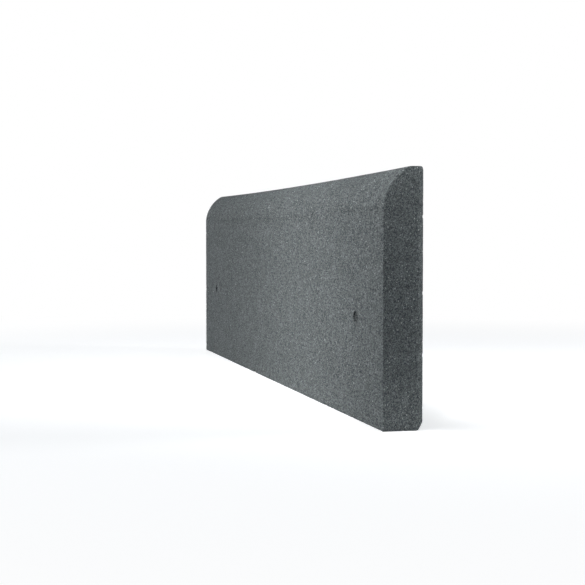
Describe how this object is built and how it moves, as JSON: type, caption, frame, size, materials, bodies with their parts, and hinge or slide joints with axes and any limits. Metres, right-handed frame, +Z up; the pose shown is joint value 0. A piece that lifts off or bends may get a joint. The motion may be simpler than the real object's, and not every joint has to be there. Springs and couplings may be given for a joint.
{
  "type": "rubber edging kerb",
  "caption": "Straight kerb of pressed rubber granulate that stands on a narrow foot, with a flat back and a front face that rounds over into a flat top, to edge a path or play surface.",
  "frame": {"origin": "middle of the foot, on the surface that the kerb stands on: the bottom centre of its box", "axes": "+X along the kerb's length, +Y from the rounded front to the flat back, +Z up"},
  "size_m": [1, 0.04, 0.25],
  "materials": {
    "granulate": "matt dark grey pressed rubber granulate with a grain of 1 to 2 mm"
  },
  "bodies": {
    "root": {"kerb": "granulate"}
  },
  "joints": []
}
